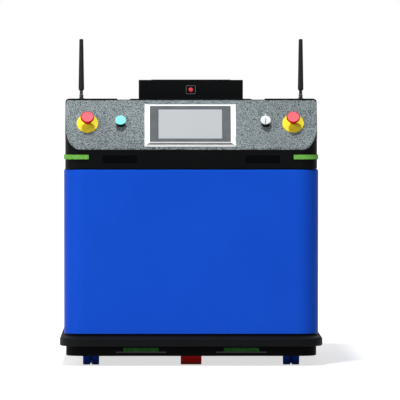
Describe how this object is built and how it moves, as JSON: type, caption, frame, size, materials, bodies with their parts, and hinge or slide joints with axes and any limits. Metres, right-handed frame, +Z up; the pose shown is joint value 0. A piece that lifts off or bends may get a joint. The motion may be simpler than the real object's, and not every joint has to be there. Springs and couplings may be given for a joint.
{
  "type": "autonomous mobile robot",
  "caption": "Box-shaped mobile robot base on casters and steering drive wheels, with a bumper, a sloping control console, folding antennas and a pedestal for a robot arm.",
  "frame": {"origin": "on the floor below the middle of the body", "axes": "+Z up, -Y towards the console end where the operator stands, +X to the operator's right"},
  "size_m": [0.734, 0.985, 0.9122],
  "materials": {
    "antenna_black": "satin",
    "arm_plate_black": "satin",
    "battery_grey": "matte",
    "bezel_silver": "satin",
    "bumper_black": "matte",
    "camera_black": "gloss",
    "caster_blue": "satin",
    "contact_copper": "satin",
    "disc_yellow": "satin",
    "display_grey": "satin",
    "drive_red": "satin",
    "electronics_grey": "satin",
    "estop_red": "satin",
    "frame_steel": "matte",
    "gear_steel": "satin",
    "housing_black": "satin",
    "lamp_green": "satin",
    "lens_cyan": "satin",
    "motor_black": "satin",
    "overlay_grey": "satin",
    "panel_grey": "textured",
    "ring_chrome": "gloss",
    "shell_blue": "satin",
    "sill_green": "satin",
    "skirt_black": "matte",
    "switch_black": "satin",
    "zinc_steel": "satin"
  },
  "bodies": {
    "chassis": {"arm_plate": "arm_plate_black", "base_plate": "frame_steel", "battery_pack": "battery_grey", "beacon": "estop_red", "body_frame": "frame_steel", "camera_units": "camera_black", "caster_plates": "zinc_steel", "charge_contacts": "contact_copper", "console_housing": "housing_black", "control_electronics": "electronics_grey", "control_panel": "panel_grey", "corner_lights": "lamp_green", "deck_plate": "housing_black", "display_unit": "display_grey", "estop_bodies": "switch_black", "estop_discs": "disc_yellow", "front_bumper": "bumper_black", "front_shell": "shell_blue", "front_skirt": "skirt_black", "panel_fittings": "ring_chrome", "pedestal_base": "housing_black", "pedestal_box": "housing_black", "rear_bumper": "bumper_black", "rear_housing": "housing_black", "rear_shell": "shell_blue", "rear_skirt": "skirt_black", "screen_bezel": "bezel_silver", "screen_overlay": "overlay_grey", "side_panels": "shell_blue", "side_skirts": "skirt_black", "sill_lamps": "sill_green", "steer_motors": "motor_black", "steer_turrets": "motor_black", "switch_bodies": "switch_black"},
    "steering_front": {"steer_fork_front": "gear_steel", "drive_motor_front": "motor_black"},
    "drive_wheel_front": {"drive_wheel_front": "drive_red"},
    "steer_pinion_front": {"steer_pinion_front": "gear_steel"},
    "caster_swivel_front_left": {"caster_fork_front_left": "zinc_steel"},
    "caster_wheels_front_left": {"caster_wheels_front_left": "caster_blue"},
    "caster_swivel_front_right": {"caster_fork_front_right": "zinc_steel"},
    "caster_wheels_front_right": {"caster_wheels_front_right": "caster_blue"},
    "steering_rear": {"steer_fork_rear": "gear_steel", "drive_motor_rear": "motor_black"},
    "drive_wheel_rear": {"drive_wheel_rear": "drive_red"},
    "steer_pinion_rear": {"steer_pinion_rear": "gear_steel"},
    "caster_swivel_rear_left": {"caster_fork_rear_left": "zinc_steel"},
    "caster_wheels_rear_left": {"caster_wheels_rear_left": "caster_blue"},
    "caster_swivel_rear_right": {"caster_fork_rear_right": "zinc_steel"},
    "caster_wheels_rear_right": {"caster_wheels_rear_right": "caster_blue"},
    "estop_stem_left": {"estop_stem_left": "switch_black"},
    "estop_head_left": {"estop_head_left": "estop_red"},
    "estop_stem_right": {"estop_stem_right": "switch_black"},
    "estop_head_right": {"estop_head_right": "estop_red"},
    "start_lens": {"start_lens": "lens_cyan"},
    "key": {"key": "ring_chrome"},
    "antenna_base_left": {"antenna_base_left": "antenna_black"},
    "antenna_blade_left": {"antenna_blade_left": "antenna_black"},
    "antenna_base_right": {"antenna_base_right": "antenna_black"},
    "antenna_blade_right": {"antenna_blade_right": "antenna_black"}
  },
  "joints": [
    {"name": "steer_front", "type": "hinge", "parent": "chassis", "child": "steering_front", "pos_m": [0, -0.377, 0.17], "axis": [0, 0, 1], "range_deg": [-100, 100]},
    {"name": "pinion_front", "type": "hinge", "parent": "chassis", "child": "steer_pinion_front", "pos_m": [0, -0.2795, 0.178], "axis": [0, 0, 1], "range_deg": [-340, 340]},
    {"name": "drive_front", "type": "hinge", "parent": "steering_front", "child": "drive_wheel_front", "pos_m": [0, -0.377, 0.075], "axis": [1, 0, 0], "continuous": true},
    {"name": "caster_swivel_front_left", "type": "hinge", "parent": "chassis", "child": "caster_swivel_front_left", "pos_m": [-0.28, -0.405, 0.1], "axis": [0, 0, 1], "continuous": true},
    {"name": "caster_roll_front_left", "type": "hinge", "parent": "caster_swivel_front_left", "child": "caster_wheels_front_left", "pos_m": [-0.28, -0.385, 0.0375], "axis": [1, 0, 0], "continuous": true},
    {"name": "caster_swivel_front_right", "type": "hinge", "parent": "chassis", "child": "caster_swivel_front_right", "pos_m": [0.28, -0.405, 0.1], "axis": [0, 0, 1], "continuous": true},
    {"name": "caster_roll_front_right", "type": "hinge", "parent": "caster_swivel_front_right", "child": "caster_wheels_front_right", "pos_m": [0.28, -0.385, 0.0375], "axis": [1, 0, 0], "continuous": true},
    {"name": "steer_rear", "type": "hinge", "parent": "chassis", "child": "steering_rear", "pos_m": [0, 0.377, 0.17], "axis": [0, 0, 1], "range_deg": [-100, 100]},
    {"name": "pinion_rear", "type": "hinge", "parent": "chassis", "child": "steer_pinion_rear", "pos_m": [0, 0.2795, 0.178], "axis": [0, 0, 1], "range_deg": [-340, 340]},
    {"name": "drive_rear", "type": "hinge", "parent": "steering_rear", "child": "drive_wheel_rear", "pos_m": [0, 0.377, 0.075], "axis": [1, 0, 0], "continuous": true},
    {"name": "caster_swivel_rear_left", "type": "hinge", "parent": "chassis", "child": "caster_swivel_rear_left", "pos_m": [-0.28, 0.405, 0.1], "axis": [0, 0, 1], "continuous": true},
    {"name": "caster_roll_rear_left", "type": "hinge", "parent": "caster_swivel_rear_left", "child": "caster_wheels_rear_left", "pos_m": [-0.28, 0.425, 0.0375], "axis": [1, 0, 0], "continuous": true},
    {"name": "caster_swivel_rear_right", "type": "hinge", "parent": "chassis", "child": "caster_swivel_rear_right", "pos_m": [0.28, 0.405, 0.1], "axis": [0, 0, 1], "continuous": true},
    {"name": "caster_roll_rear_right", "type": "hinge", "parent": "caster_swivel_rear_right", "child": "caster_wheels_rear_right", "pos_m": [0.28, 0.425, 0.0375], "axis": [1, 0, 0], "continuous": true},
    {"name": "estop_press_left", "type": "slide", "parent": "chassis", "child": "estop_stem_left", "axis": [0, 0.831, -0.5563], "range_m": [0, 0.005]},
    {"name": "estop_twist_left", "type": "hinge", "parent": "estop_stem_left", "child": "estop_head_left", "pos_m": [-0.2895, -0.44472, 0.68492], "axis": [0, -0.831, 0.5563], "range_deg": [-40, 0]},
    {"name": "estop_press_right", "type": "slide", "parent": "chassis", "child": "estop_stem_right", "axis": [0, 0.831, -0.5563], "range_m": [0, 0.005]},
    {"name": "estop_twist_right", "type": "hinge", "parent": "estop_stem_right", "child": "estop_head_right", "pos_m": [0.2845, -0.44472, 0.68492], "axis": [0, -0.831, 0.5563], "range_deg": [-40, 0]},
    {"name": "start_press", "type": "slide", "parent": "chassis", "child": "start_lens", "axis": [0, 0.831, -0.5563], "range_m": [0, 0.0025], "stiffness_N_per_m": 400, "springref_m": -0.004},
    {"name": "key_turn", "type": "hinge", "parent": "chassis", "child": "key", "pos_m": [0.2075, -0.43641, 0.67936], "axis": [0, -0.831, 0.5563], "range_deg": [-90, 0]},
    {"name": "antenna_swivel_left", "type": "hinge", "parent": "chassis", "child": "antenna_base_left", "pos_m": [-0.3075, -0.35377, 0.74515], "axis": [0, 0, 1], "range_deg": [-180, 180]},
    {"name": "antenna_fold_left", "type": "hinge", "parent": "antenna_base_left", "child": "antenna_blade_left", "pos_m": [-0.3075, -0.35377, 0.76145], "axis": [1, 0, 0], "range_deg": [-90, 0]},
    {"name": "antenna_swivel_right", "type": "hinge", "parent": "chassis", "child": "antenna_base_right", "pos_m": [0.3075, -0.35377, 0.74515], "axis": [0, 0, 1], "range_deg": [-180, 180]},
    {"name": "antenna_fold_right", "type": "hinge", "parent": "antenna_base_right", "child": "antenna_blade_right", "pos_m": [0.3075, -0.35377, 0.76145], "axis": [1, 0, 0], "range_deg": [-90, 0]}
  ],
  "couplings": [
    {"joint": "pinion_front", "follows": "steer_front", "ratio": -3.3333},
    {"joint": "pinion_rear", "follows": "steer_rear", "ratio": -3.3333}
  ]
}
